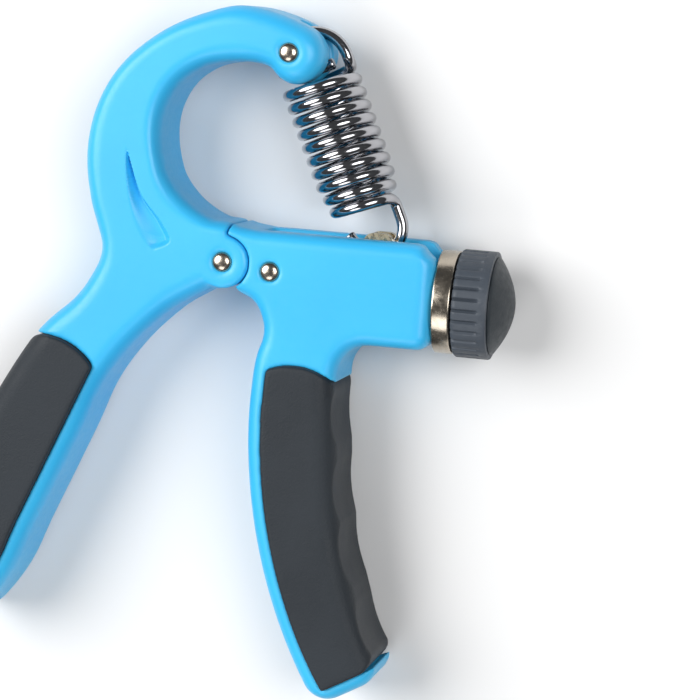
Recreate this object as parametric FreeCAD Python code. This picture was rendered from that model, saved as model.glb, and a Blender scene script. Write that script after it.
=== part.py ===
import FreeCAD, Part
import math
import os

V = FreeCAD.Vector

# Hand grip strengthener, lying flat on its side. All lengths are in millimetres.
# X runs along the adjusting screw towards the knob, Y from the grips towards the spring,
# Z is the thickness. The shapes are drawn about the handle pivot and moved at the end, so
# that the origin is at the middle of the base.

# Thickness of the two handles and of the soft covers on their grips
frame_half = 10.6
cover_half = 11.8
edge_round = 4.0
body_round = 3.0
cover_round = 4.5
knuckle_round = 0.7

# Fits between pieces
running = 0.05
clear = 0.3
seat = 0.02

# Rivets: pivot, bearing block and spring loop
pin_r = 1.75
pin_head_r = 2.15
pin_head_rise = 1.1
pin_head_edge = 0.5
head_recess = 1.0
head_recess_r = 2.5
loop_pin_r = 1.6
pivot = V(0, 0, 0)
bearing_pin_at = V(10.6, -1.2, 0)

# Knuckle of the left lever round the pivot, and the tongue of the right handle inside it
knuckle_r = 5.7
tongue_half = 4.0
tongue_r = 5.4
bridge_half = 4.6
stop_open = 86.0
stop_shut = -93.0
squeeze = 30.0
stop_gap = 3.5
knuckle_reach = 13.0

# Curved arm of the left lever
arm_centre = V(-0.4, 20.8, 0)
arm_outer_r = 33.9
arm_inner_centre = V(1.6, 27.5, 0)
tip_r = 6.4
tip_angle = 62.8
tip_bite = 0.63
notch_r = 1.2
arm_end_angle = 197.0
inner_end_angle = 200.0
arm_neck = [V(-11.2, 18.0, 0), V(-8.9, 14.4, 0), V(-5.2, 11.7, 0), V(0.7, 9.6, 0), V(7.2, 8.0, 0)]
fork_half = 1.9
fork_clear = 1.6
coil_relief = 0.8
coil_relief_z = 4.5

# Teardrop recess in both faces of the arm
drop_depth = 1.4
drop = [V(-22.7, 22.8, 0), V(-22.5, 17.5, 0), V(-21.0, 10.2, 0), V(-18.7, 4.4, 0), V(-15.2, 0.9, 0)]
drop += [V(-11.6, 3.4, 0), V(-14.2, 7.8, 0), V(-18.9, 13.2, 0), V(-22.7, 22.8, 0)]

# Body of the right handle
body_top = 7.3
body_bottom = -15.2
body_end = 46.0
body_crown = [V(-4.0, 11.4, 0), V(1.2, 9.5, 0), V(4.6, 8.3, 0)]
crown_end = 9.0
under_pivot = [V(-2.0, -4.6, 0), V(3.6, -6.2, 0), V(7.2, -8.0, 0)]
channel_half = 4.2
channel_start = 7.4
channel_end = 42.5
channel_bottom = -9.9
channel_chamfer = 4.7
underside_x = 33.0
underside_drop = 7.0

# Grips: inner and outer side of each, down the bare neck and then down the soft cover
left_neck_inner = [V(-0.4, -6.0, 0), V(-8.2, -9.4, 0), V(-16.6, -16.6, 0)]
left_grip_inner = [V(-24.2, -26.5, 0), V(-31.2, -43.0, 0), V(-38.4, -60.0, 0)]
left_grip_inner += [V(-45.2, -75.6, 0), V(-53.2, -85.6, 0)]
left_neck_outer = [V(-29.9, 1.4, 0), V(-31.8, -7.0, 0)]
left_grip_outer = [V(-41.4, -19.4, 0), V(-50.3, -35.0, 0), V(-57.6, -52.2, 0)]
left_grip_outer += [V(-62.6, -66.0, 0), V(-66.6, -75.6, 0)]
right_neck_inner = [V(9.4, -12.0, 0)]
right_grip_inner = [V(8.2, -22.0, 0), V(7.7, -33.0, 0), V(8.8, -46.5, 0), V(11.4, -59.6, 0)]
right_grip_inner += [V(15.8, -73.1, 0), V(20.6, -83.6, 0), V(27.2, -94.6, 0)]
right_grip_outer = [V(26.4, -24.0, 0), V(27.4, -36.0, 0), V(28.7, -48.0, 0), V(31.6, -62.0, 0)]
right_grip_outer += [V(36.4, -76.0, 0), V(41.6, -86.2, 0)]
strip = 3.4
end_strip = 2.8
core_half = 7.6
core_inset = 3.2
end_corner_r = 5.6
cover_bow = 2.2
grooves = 4
groove_first = -31.0
groove_pitch = 15.6
groove_depth = 0.9
groove_r = 22.0

# Adjusting screw, its bearing block and collar
screw_y = -5.0
screw_r = 3.0
journal_r = 2.0
journal_length = 2.4
block_length = 7.4
block_gap = 0.2
block_side_gap = 0.1
block_top = 1.6
collar_r = 11.1
collar_width = 4.0
collar_round = 0.5
collar_spigot_r = 5.0
collar_spigot = 2.2
clip_r = 3.9
clip_width = 0.7
clip_groove = 0.7
clip_from_wall = 0.55
clip_mouth = 3.2

# Slider nut, its ears and the pin that the spring hooks on
slider_length = 9.0
slider_shoulder = 2.4
slider_floor = -0.2
ear_width = 6.6
ear_gap_half = 1.65
ear_over = 2.1
ear_round = 2.3
hook_pin_r = 1.2

# Knob with its insert, washer, fixing screw and end cap
knob_r = 11.6
knob_length = 8.3
knob_gap = 0.35
knob_wall = 2.2
knob_face = 2.4
knob_band = 1.3
knob_flutes = 30
flute_r = 0.62
hub_r = 6.2
hub_length = 6.6
insert_r = 4.4
screw_end_r = 2.4
cap_r = 10.5
cap_rise = 2.8
cap_edge = 0.9
cap_spigot_wall = 1.2
cap_spigot = 1.2
cap_gap = 0.1
fixing_r = 1.5
fixing_head_r = 2.8
fixing_head = 1.5
fixing_length = 5.0
washer_r = 5.6
washer_width = 0.8

# Spring: s runs along its axis from the upper loop to the hook, n across it, z as the part's Z
wire_r = 1.25
coil_r = 7.5
coil_turns = 9
coil_from_loop = 3.9
coil_end = -1.88
taper_turns = 2.0
taper = 0.9
spring_foot = V(28.64, 13.11, 0)
loop_pin_from_tip = V(-0.77, 0.24, 0)
loop_from_pin = V(3.67, -2.75, 0)
loop_end_n = 4.3
loop_strand = 0.7
loop_strand_left = -2.6
loop_join = 19.0
hook_r = 5.75
hook_side = 0.7
hook_centre = 4.3
hook_end_angle = 162.0
hook_drop = 2.6
gap_points = 900

parts = {}


# Plane geometry
def polar(centre, radius, degrees):
    angle = math.radians(degrees)
    return centre + V(radius * math.cos(angle), radius * math.sin(angle), 0)


def angle_of(vector):
    return math.degrees(math.atan2(vector.y, vector.x))


def unit(vector):
    return vector * (1 / vector.Length)


def arc(centre, radius, start, end):
    middle = polar(centre, radius, (start + end) / 2)
    return Part.Arc(polar(centre, radius, start), middle, polar(centre, radius, end)).toShape()


def line(a, b):
    return Part.LineSegment(a, b).toShape()


def bend(start, corner, end):
    # Arc that touches start-corner at start and corner-end at end.
    middle = (start + end) * 0.5
    cosine = min((middle - start).Length / (corner - start).Length, 1)
    if 1 - cosine < 1e-9:
        return line(start, end)
    return Part.Arc(start, corner + (middle - corner) * (1 / (1 + cosine)), end).toShape()


def biarc(start, heading, end, way):
    # Two arcs that share a tangent, from start along heading to end along way.
    across = end - start
    reach = across.dot(heading + way)
    spread = 2 * (1 - heading.dot(way))
    if spread < 1e-9:
        step = across.dot(across) / (2 * reach)
    else:
        step = (math.sqrt(reach ** 2 + spread * across.dot(across)) - reach) / spread
    first, second = start + heading * step, end - way * step
    meet = (first + second) * 0.5
    return [bend(start, first, meet), bend(meet, second, end)]


def headings(points, first=None, last=None):
    # At each inner point, the tangent of the circle through it and its two neighbours.
    found = [first]
    for before, here, after in zip(points, points[1:], points[2:]):
        into, out = here - before, after - here
        found.append(unit(unit(into) * out.Length + unit(out) * into.Length))
    found.append(last)
    if first is None:
        chord = unit(points[1] - points[0])
        found[0] = unit(chord * (2 * chord.dot(found[1])) - found[1])
    if last is None:
        chord = unit(points[-1] - points[-2])
        found[-1] = unit(chord * (2 * chord.dot(found[-2])) - found[-2])
    return found


def smooth(points, first=None, last=None):
    ways = headings(points, first, last)
    edges = []
    for i in range(len(points) - 1):
        edges.extend(biarc(points[i], ways[i], points[i + 1], ways[i + 1]))
    return edges


def shifted(points, distance):
    # Each point moves to the left of the way that the list runs.
    moved = []
    for i, point in enumerate(points):
        along = unit(points[min(i + 1, len(points) - 1)] - points[max(i - 1, 0)])
        moved.append(point + V(-along.y, along.x, 0) * distance)
    return moved


# Tip of the arm, and the line of the spring from its loop there to its foot at the slider
arm_tip = polar(arm_centre, arm_outer_r - tip_r, tip_angle)
arm_inner_r = (arm_tip - arm_inner_centre).Length - tip_r + tip_bite
loop_pin_at = arm_tip + loop_pin_from_tip
loop_at = loop_pin_at + loop_from_pin
loop_centre = -(spring_foot - loop_at).Length
coil_start = loop_centre + coil_from_loop
coil_pitch = (coil_end - coil_start) / coil_turns
spring_axis = unit(spring_foot - loop_at)
spring_across = V(-spring_axis.y, spring_axis.x, 0)


def along_spring(s, n, z=0):
    return spring_foot + spring_axis * s + spring_across * n + V(0, 0, z)


# Solids
def slab(edges, low, high):
    wire = Part.Wire(Part.__sortEdges__(edges))
    wire.translate(V(0, 0, low))
    return Part.makeFace(wire, "Part::FaceMakerBullseye").extrude(V(0, 0, high - low))


def outlined(points, low, high):
    return slab([line(a, b) for a, b in zip(points, points[1:] + points[:1])], low, high)


def disc(centre, radius, low, high):
    return Part.makeCylinder(radius, high - low, V(centre.x, centre.y, low), V(0, 0, 1))


def block(x0, x1, y0, y1, z0, z1):
    return Part.makeBox(x1 - x0, y1 - y0, z1 - z0, V(x0, y0, z0))


def sector(start, end, radius, low, high):
    a, b = polar(pivot, radius, start), polar(pivot, radius, end)
    return slab([line(pivot, a), arc(pivot, radius, start, end), line(b, pivot)], low, high)


def along_x(radius, x0, x1):
    return Part.makeCylinder(radius, x1 - x0, V(x0, screw_y, 0), V(1, 0, 0))


def turned(profile):
    # profile lists the (x, radius) corners of a closed outline, turned about the screw's axis.
    points = [V(x, screw_y + radius, 0) for x, radius in profile]
    face = Part.Face(Part.makePolygon(points + points[:1]))
    return face.revolve(V(0, screw_y, 0), V(1, 0, 0), 360)


def rim_edges(solid, level):
    return [e for e in solid.Edges if all(abs(abs(v.Z) - level) < 1e-6 for v in e.Vertexes)]


def upright_edges(solid, points):
    found = []
    for edge in solid.Edges:
        a, b = edge.Vertexes[0].Point, edge.Vertexes[-1].Point
        upright = abs(a.z - b.z) > 1 and math.hypot(a.x - b.x, a.y - b.y) < 1e-6
        if upright and min(math.hypot(a.x - p.x, a.y - p.y) for p in points) < 0.01:
            found.append(edge)
    return found


def headed_hole(at, radius):
    hole = disc(at, radius, -frame_half - 1, frame_half + 1)
    for side in (1, -1):
        low, high = sorted((side * (frame_half - head_recess), side * (frame_half + 1)))
        hole = hole.fuse(disc(at, head_recess_r, low, high))
    return hole


def rivet(at, radius):
    # Straight pin with a low domed head sunk in each face.
    under = frame_half - head_recess
    pin = disc(at, radius, -under, under)
    dome_r = (pin_head_r ** 2 + pin_head_rise ** 2) / (2 * pin_head_rise)
    top = under + pin_head_edge + pin_head_rise
    for side in (1, -1):
        low, high = sorted((side * under, side * top))
        dome = Part.makeSphere(dome_r, V(at.x, at.y, side * (top - dome_r)))
        pin = pin.fuse(disc(at, pin_head_r, low, high).common(dome))
    return pin.removeSplitter()


# Outlines of the two handles, before the knuckle is cut
def left_outline():
    near, far = arm_inner_r - notch_r, tip_r + notch_r
    apart = arm_tip - arm_inner_centre
    along = (near ** 2 - far ** 2 + apart.Length ** 2) / (2 * apart.Length)
    aside = math.sqrt(near ** 2 - along ** 2)
    way = unit(apart)
    notch = arm_inner_centre + way * along + V(-way.y, way.x, 0) * aside
    in_tip = angle_of(notch - arm_tip) - 360
    in_arm = angle_of(notch - arm_inner_centre)
    arm = [
        arc(arm_tip, tip_r, tip_angle, in_tip % 360 - 360),
        arc(notch, notch_r, (in_tip + 180) % 360, in_arm),
        arc(arm_inner_centre, arm_inner_r, in_arm, inner_end_angle),
        arc(arm_centre, arm_outer_r, tip_angle, arm_end_angle),
    ]
    arm_end = polar(arm_centre, arm_outer_r, arm_end_angle)
    inner_end = polar(arm_inner_centre, arm_inner_r, inner_end_angle)
    arm += smooth([arm_end] + left_neck_outer + left_grip_outer, polar(pivot, 1, arm_end_angle + 90))
    arm += smooth([inner_end] + arm_neck, polar(pivot, 1, inner_end_angle + 90))
    inner = left_neck_inner + left_grip_inner
    corner = V(arm_neck[-1].x, inner[0].y, 0)
    closing = [line(arm_neck[-1], corner), line(corner, inner[0])]
    grip = smooth(inner, V(-1, 0, 0)) + [line(left_grip_outer[-1], inner[-1])]
    return arm, grip, closing


def right_outline():
    crown = V(crown_end, body_top, 0)
    top_end, bottom_end = V(body_end, body_top, 0), V(body_end, body_bottom, 0)
    heel = V(underside_x, body_bottom, 0)
    heel_end = V(right_grip_outer[0].x, body_bottom - underside_drop, 0)
    body = smooth(body_crown + [crown], None, V(1, 0, 0))
    body += [line(crown, top_end), line(bottom_end, heel)]
    body += biarc(heel, V(-1, 0, 0), heel_end, V(0, -1, 0))
    body += smooth([heel_end] + right_grip_outer, V(0, -1, 0))
    closing = [line(top_end, bottom_end), line(body_crown[0], under_pivot[0])]
    inner = under_pivot + right_neck_inner + right_grip_inner
    grip = smooth(inner) + [line(right_grip_outer[-1], inner[-1])]
    return body, grip, closing


def on_line(edges, group):
    # The edges whose middle lies over one of the group's.
    plan = Part.makeCompound(group)
    found = []
    for edge in edges:
        middle = edge.valueAt((edge.FirstParameter + edge.LastParameter) / 2)
        if plan.distToShape(Part.Vertex(middle.x, middle.y, 0))[0] < 1e-3:
            found.append(edge)
    return found


def handle_plate(outline, area, rounding, ends):
    # Handle with rounded rims, without what its soft cover takes up.
    plate = slab(sum(outline, []), -frame_half, frame_half)
    plate = plate.makeFillet(end_corner_r, upright_edges(plate, ends))
    return plate.makeFillet(rounding, rim_edges(plate, frame_half)).cut(area)


def cover_plan(inner, outer, side):
    # Parting line, end strip and bowed top of a soft cover.
    parting = shifted(inner, side * strip)
    low = parting[-1] + unit(parting[-2] - parting[-1]) * end_strip
    foot = outer[-1] + unit(outer[-2] - outer[-1]) * end_strip
    middle = (parting[0] + outer[0]) * 0.5 + V(0, cover_bow, 0)
    return parting[:-1] + [low], foot, Part.Arc(outer[0], middle, parting[0]).toShape()


def cover_area(inner, outer, side):
    # What the cover takes out of the handle, open past the outer side.
    parting, foot, top = cover_plan(inner, outer, side)
    far = [point + unit(point - parting[0]) * strip for point in (foot, outer[0])]
    far[0] = foot + unit(foot - parting[-1]) * strip
    edges = smooth(parting) + [line(parting[-1], foot), line(foot, far[0]), line(far[0], far[1]), top]
    edges.append(line(far[1], outer[0]))
    return slab(edges, -cover_half - 1, cover_half + 1)


def cover_solid(inner, outer, side):
    parting, foot, top = cover_plan(inner, outer, side)
    palm = smooth(outer[:-1] + [foot])
    plate = slab(smooth(parting) + [line(parting[-1], foot), top] + palm, -cover_half, cover_half)
    return plate.makeFillet(cover_round, on_line(rim_edges(plate, cover_half), palm))


def grip_core(inner, outer, side):
    # Hard core under the soft cover, drawn past the cover's area on the inner side and both ends.
    sides = []
    for points in (shifted(inner, side * strip / 2), shifted(outer, -side * core_inset)):
        first = points[0] + unit(points[0] - points[1]) * strip
        last = points[-1] + unit(points[-2] - points[-1]) * end_strip / 2
        sides.append([first] + points[:-1] + [last])
    edges = smooth(sides[0]) + smooth(sides[1])
    edges += [line(sides[0][-1], sides[1][-1]), line(sides[1][0], sides[0][0])]
    return slab(edges, -core_half, core_half)


# Left handle
left_ends = [left_grip_inner[-1], left_grip_outer[-1]]
left_area = cover_area(left_grip_inner, left_grip_outer, -1)
left_core = grip_core(left_grip_inner, left_grip_outer, -1)
left = handle_plate(left_outline(), left_area, edge_round, left_ends)
left = left.cut(sector(stop_shut, stop_open, knuckle_reach, -frame_half - 1, frame_half + 1))
knuckle = disc(pivot, knuckle_r, -frame_half, frame_half)
left = left.fuse(knuckle.makeFillet(knuckle_round, rim_edges(knuckle, frame_half)))
left = left.cut(disc(pivot, knuckle_r + 0.1, -tongue_half - clear, tongue_half + clear))
left = left.cut(headed_hole(pivot, pin_r + seat))
left = left.cut(headed_hole(loop_pin_at, loop_pin_r + running))
fork_r = coil_r + wire_r + fork_clear
left = left.cut(disc(loop_at, fork_r, -fork_half, fork_half))
# Room behind the tip for the coil's first turn
high, low = coil_start - coil_pitch / 4 - wire_r - coil_relief, coil_start
relief = [along_spring(high, -fork_r), along_spring(low, -fork_r)]
relief += [along_spring(low, tip_r), along_spring(high, tip_r)]
left = left.cut(outlined(relief, -frame_half - 1, -coil_relief_z))
for side in (1, -1):
    low, high = sorted((side * (frame_half - drop_depth), side * (frame_half + 1)))
    pocket = slab(smooth(drop, unit(drop[1] - drop[0]), None), low, high)
    left = left.cut(pocket)
left = left.fuse(left_core).removeSplitter()
parts["left_handle_frame"] = left
cover = cover_solid(left_grip_inner, left_grip_outer, -1)
parts["left_grip_cover"] = cover.cut(left_core)
parts["pivot_pin"] = rivet(pivot, pin_r)
parts["upper_hook_pin"] = rivet(loop_pin_at, loop_pin_r)

# Right handle
right_ends = [right_grip_inner[-1], right_grip_outer[-1]]
right_area = cover_area(right_grip_inner, right_grip_outer, 1)
right_core = grip_core(right_grip_inner, right_grip_outer, 1)
right = handle_plate(right_outline(), right_area, body_round, right_ends)
gap_from, gap_to = stop_open - stop_gap, 360 + stop_shut + squeeze + stop_gap
right = right.cut(sector(gap_from, gap_to, knuckle_reach, -frame_half - 1, frame_half + 1))
right = right.cut(disc(pivot, knuckle_r + clear, -frame_half - 1, frame_half + 1))
tongue = disc(pivot, tongue_r, -tongue_half, tongue_half)
bridge = block(0, channel_start, -bridge_half, bridge_half, -tongue_half, tongue_half)
right = right.fuse(tongue.fuse(bridge))
right = right.cut(disc(pivot, pin_r + running, -tongue_half - 1, tongue_half + 1))
slot_top = body_crown[0].y


def channel_profile(x0, x1, low, high, half):
    # Upright section of the channel, with its lower corner by the pivot cut off.
    corners = [V(x0, high, 0), V(x0, low + channel_chamfer, 0), V(x0 + channel_chamfer, low, 0)]
    return outlined(corners + [V(x1, low, 0), V(x1, high, 0)], -half, half)


right = right.cut(channel_profile(channel_start, channel_end, channel_bottom, slot_top, channel_half))
right = right.cut(along_x(screw_r + running, channel_end - 1, body_end + 1))
right = right.cut(along_x(collar_spigot_r + seat, body_end - collar_spigot - running, body_end + 1))
right = right.cut(headed_hole(bearing_pin_at, pin_r + seat))
right = right.fuse(right_core).removeSplitter()
parts["right_handle_frame"] = right
cover = cover_solid(right_grip_inner, right_grip_outer, 1)


def outer_side_at(y):
    for a, b in zip(right_grip_outer, right_grip_outer[1:]):
        if b.y <= y:
            break
    return a + (b - a) * ((y - a.y) / (b.y - a.y)), unit(b - a)


for i in range(grooves):
    at, along = outer_side_at(groove_first - i * groove_pitch)
    groove_at = at + V(-along.y, along.x, 0) * (groove_r - groove_depth)
    cover = cover.cut(disc(groove_at, groove_r, -cover_half - 1, cover_half + 1))
parts["right_grip_cover"] = cover.cut(right_core)
parts["bearing_pin"] = rivet(bearing_pin_at, pin_r)

# Bearing block, pinned in the channel, with the journal of the screw
block_start, block_low = channel_start + block_gap, channel_bottom + block_side_gap
block_end = block_start + block_length
bearing = channel_profile(block_start, block_end, block_low, block_top, channel_half - block_side_gap)
journal_start = block_end - journal_length
bearing = bearing.cut(disc(bearing_pin_at, pin_r + seat, -channel_half, channel_half))
parts["screw_bearing"] = bearing.cut(along_x(journal_r + running, journal_start - 0.1, block_end + 1))

# Collar pressed into the end wall
collar_end = body_end + collar_width
collar = along_x(collar_r, body_end, collar_end)
edges = [e for e in collar.Edges if e.Length > 6 * collar_r]
collar = collar.makeFillet(collar_round, edges)
collar = collar.fuse(along_x(collar_spigot_r, body_end - collar_spigot, body_end))
parts["end_collar"] = collar.cut(along_x(screw_r + running, body_end - 5, collar_end + 1)).removeSplitter()

# Adjusting screw, clip and washer
washer_start = collar_end + running
washer_end = washer_start + washer_width
knob_start = collar_end + knob_gap
hub_end = knob_start + hub_length
clip_end = channel_end - clip_from_wall
clip_start = clip_end - clip_width
groove_r_inner = screw_r - clip_groove
screw = along_x(journal_r, journal_start, block_end + clear)
screw = screw.fuse(along_x(screw_r, block_end + clear, washer_end))
screw = screw.fuse(along_x(screw_end_r, washer_end, hub_end)).removeSplitter()
screw = screw.cut(turned([(clip_start - seat, groove_r_inner), (clip_end + seat, groove_r_inner),
                          (clip_end + seat, screw_r + 1), (clip_start - seat, screw_r + 1)]))
screw = screw.cut(along_x(fixing_r + seat, hub_end - fixing_length - 0.2, hub_end + 1))
parts["lead_screw"] = screw
clip = turned([(clip_start, groove_r_inner + seat), (clip_end, groove_r_inner + seat),
               (clip_end, clip_r), (clip_start, clip_r)])
mouth = block(clip_start - 1, clip_end + 1, screw_y, screw_y + clip_r + 1, -clip_mouth / 2, clip_mouth / 2)
parts["retaining_clip"] = clip.cut(mouth)
parts["thrust_washer"] = turned([(washer_start, screw_r + seat), (washer_end, screw_r + seat),
                                 (washer_end, washer_r), (washer_start, washer_r)])

# Knob: fluted cup with a hub, metal insert, fixing screw and domed cap
knob_end = knob_start + knob_length
wall_r = knob_r - knob_wall
knob = turned([(knob_start, insert_r), (hub_end, insert_r), (hub_end, hub_r),
               (knob_start + knob_face, hub_r), (knob_start + knob_face, wall_r),
               (knob_end, wall_r), (knob_end, knob_r), (knob_start, knob_r)])
knob = knob.cut(along_x(washer_r + clear, knob_start - 1, washer_end + seat))
flutes = []
for i in range(knob_flutes):
    angle = 2 * math.pi * i / knob_flutes
    at = V(knob_start - 1, screw_y + knob_r * math.cos(angle), knob_r * math.sin(angle))
    flutes.append(Part.makeCylinder(flute_r, knob_length - knob_band + 1, at, V(1, 0, 0)))
parts["knob_body"] = knob.cut(flutes)
insert_start = washer_end + seat
parts["knob_insert"] = turned([(insert_start, screw_end_r + seat), (hub_end, screw_end_r + seat),
                               (hub_end, insert_r), (insert_start, insert_r)])
fixing = along_x(fixing_r, hub_end - fixing_length, hub_end)
parts["knob_fixing_screw"] = fixing.fuse(along_x(fixing_head_r, hub_end, hub_end + fixing_head))
cap_out_r = wall_r - cap_gap
rim = knob_end + cap_edge
dome_r = (cap_r ** 2 + cap_rise ** 2) / (2 * cap_rise)
dome = Part.makeSphere(dome_r, V(rim + cap_rise - dome_r, screw_y, 0))
cap = along_x(cap_r, knob_end, rim + cap_rise).common(dome)
ring = along_x(cap_out_r, knob_end - cap_spigot, knob_end)
ring = ring.cut(along_x(cap_out_r - cap_spigot_wall, knob_end - cap_spigot - 1, knob_end))
parts["knob_end_cap"] = cap.fuse(ring).removeSplitter()

# Slider nut on the screw, and the pin between its ears
hook_pin_at = along_spring(hook_centre + hook_r - wire_r - hook_pin_r, hook_side)
half_z, ear_top = channel_half - clear, hook_pin_at.y + ear_over
nut = block(hook_pin_at.x - slider_length / 2, hook_pin_at.x + slider_length / 2,
            channel_bottom + clear, slider_shoulder, -half_z, half_z)
ears = block(hook_pin_at.x - ear_width / 2, hook_pin_at.x + ear_width / 2, 0, ear_top, -half_z, half_z)
tops = [e for e in ears.Edges if e.CenterOfMass.y > ear_top - 0.01 and e.Length > ear_width + 0.5]
nut = nut.fuse(ears.makeFillet(ear_round, tops)).removeSplitter()
nut = nut.cut(along_x(screw_r + running, hook_pin_at.x - slider_length, hook_pin_at.x + slider_length))
nut = nut.cut(block(hook_pin_at.x - slider_length, hook_pin_at.x + slider_length,
                    slider_floor, ear_top + 1, -ear_gap_half, ear_gap_half))
parts["slider_nut"] = nut.cut(disc(hook_pin_at, hook_pin_r + seat, -half_z - 1, half_z + 1))
parts["hook_pin"] = disc(hook_pin_at, hook_pin_r, -half_z, half_z)

# Spring: one wire from the free end of the upper loop, round the coil, to the end of the hook
def spring_way(s, n, z=0):
    return unit(along_spring(s, n, z) - spring_foot)


def on_coil(turn):
    # Left-hand coil that starts on the left; the last turns draw in.
    last = max(turn - (coil_turns - taper_turns), 0) / taper_turns
    radius = coil_r - taper * last * last * (3 - 2 * min(last, 1)) if last < 1 else coil_r - taper
    angle = math.pi - 2 * math.pi * turn
    return along_spring(coil_start + coil_pitch * turn, radius * math.cos(angle), radius * math.sin(angle))


def coil_way(turn):
    return unit(on_coil(turn + 0.001) - on_coil(turn - 0.001))


strand_s = coil_start - 2 * wire_r - loop_strand
on_loop = math.radians(loop_join)
path = [
    (along_spring(strand_s, loop_end_n), spring_way(0, -1)),
    (along_spring(strand_s, loop_strand_left), spring_way(0, -1)),
    (along_spring(loop_centre - coil_r * math.sin(on_loop), -coil_r * math.cos(on_loop)),
     spring_way(-math.cos(on_loop), math.sin(on_loop))),
    (along_spring(loop_centre - coil_r, 0), spring_way(0, 1)),
    (along_spring(loop_centre, coil_r), spring_way(1, 0)),
]
turns = [-0.375] + [-0.25 + 0.25 * i for i in range(4 * coil_turns + 2)] + [coil_turns + 0.375]
path += [(on_coil(t), coil_way(t)) for t in turns]
hook_end = math.radians(hook_end_angle)
hook_tip = (hook_centre + hook_r * math.sin(hook_end), hook_side + hook_r * math.cos(hook_end))
hook_way = spring_way(math.cos(hook_end), -math.sin(hook_end))
path += [
    (along_spring(hook_centre - hook_drop, hook_side + hook_r), spring_way(1, 0)),
    (along_spring(hook_centre, hook_side + hook_r), spring_way(1, 0)),
    (along_spring(hook_centre + hook_r, hook_side), spring_way(0, -1)),
    (along_spring(*hook_tip), hook_way),
    (along_spring(*hook_tip) + hook_way * 2 * wire_r, hook_way),
]
edges = []
for (start, heading), (end, way) in zip(path, path[1:]):
    if (unit(end - start) - heading).Length < 1e-6:
        edges.append(line(start, end))
    else:
        edges.extend(biarc(start, heading, end, way))
tightest = min(e.Curve.Radius for e in edges if hasattr(e.Curve, "Radius"))
wire = Part.Wire(edges)
profile = Part.Wire(Part.makeCircle(wire_r, path[0][0], path[0][1]))
spring = wire.makePipeShell([profile], True, False)
parts["main_spring"] = spring

points = wire.discretize(Number=gap_points)
step = wire.Length / (gap_points - 1)
apart = int(3.2 * wire_r * 2 / step)
nearest = min((points[i] - points[j]).Length for i in range(gap_points)
              for j in range(i + apart, gap_points)) - 2 * wire_r
print("spring: tightest bend", round(tightest, 2), "least gap to itself", round(nearest, 3))

# Origin to the middle of the base
box = FreeCAD.BoundBox()
for solid in parts.values():
    box.add(solid.optimalBoundingBox())
shift = V(-(box.XMin + box.XMax) / 2, -(box.YMin + box.YMax) / 2, -box.ZMin)
os.makedirs("parts", exist_ok=True)
for name, solid in parts.items():
    solid = solid.copy()
    solid.translate(shift)
    solid.exportStep("parts/" + name + ".step")
    print(name, "solids", len(solid.Solids), "valid", solid.isValid(), "volume", round(solid.Volume, 1))
print("box", round(box.XLength, 2), round(box.YLength, 2), round(box.ZLength, 2), "shift", shift)
for name, at in (("pivot", pivot), ("loop pin", loop_pin_at), ("hook pin", hook_pin_at),
                 ("bearing pin", bearing_pin_at), ("screw", V(slot_top, screw_y, 0))):
    print(name, at + shift)
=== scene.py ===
import math

import bmesh
import bpy
import numpy as np
from mathutils import Matrix, Vector


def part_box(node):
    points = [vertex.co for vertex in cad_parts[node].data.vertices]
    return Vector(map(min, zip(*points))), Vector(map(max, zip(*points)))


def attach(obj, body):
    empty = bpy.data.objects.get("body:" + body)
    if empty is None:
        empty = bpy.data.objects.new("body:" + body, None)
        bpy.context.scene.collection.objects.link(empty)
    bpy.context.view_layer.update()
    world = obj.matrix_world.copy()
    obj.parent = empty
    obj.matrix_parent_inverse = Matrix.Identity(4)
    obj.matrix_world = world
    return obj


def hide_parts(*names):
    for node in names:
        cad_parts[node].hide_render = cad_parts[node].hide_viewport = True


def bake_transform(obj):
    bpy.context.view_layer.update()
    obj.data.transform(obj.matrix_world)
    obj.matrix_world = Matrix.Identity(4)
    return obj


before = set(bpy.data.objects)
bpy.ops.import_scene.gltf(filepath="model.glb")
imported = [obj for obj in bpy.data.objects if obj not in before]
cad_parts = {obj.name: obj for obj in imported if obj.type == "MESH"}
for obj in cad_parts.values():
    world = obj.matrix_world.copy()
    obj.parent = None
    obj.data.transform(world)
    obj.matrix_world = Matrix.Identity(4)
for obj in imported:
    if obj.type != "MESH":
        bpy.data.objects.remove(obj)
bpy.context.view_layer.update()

MM = 0.001


# Places, read from the frame
def middle(node):
    low, high = (Vector(v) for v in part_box(node))
    return (low + high) / 2


PIVOT = middle("pivot_pin")
LOOP_PIN = middle("upper_hook_pin")
BEARING_PIN = middle("bearing_pin")
SCREW_Y = middle("lead_screw").y
MIDDLE_Z = PIVOT.z

# How far the handles' faces are from the middle plane, in millimetres
FACE = (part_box("left_handle_frame")[1][2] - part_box("left_handle_frame")[0][2]) / 2 / MM


def at(x, y, z=0.0):
    """A point given in millimetres from the handle pivot."""
    return PIVOT + Vector((x, y, z)) * MM


# Camera, at the photograph's angle
AZIMUTH, ELEVATION, ROLL = (math.radians(a) for a in (11.5, 6.75, 4.2))
CAMERA_AT = at(149.35, 53.63, 600.21)
FOCAL_PIXELS = 2852.0
IMAGE = 700.0
SENSOR = 36.0
CLIP_START = 0.01


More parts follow.
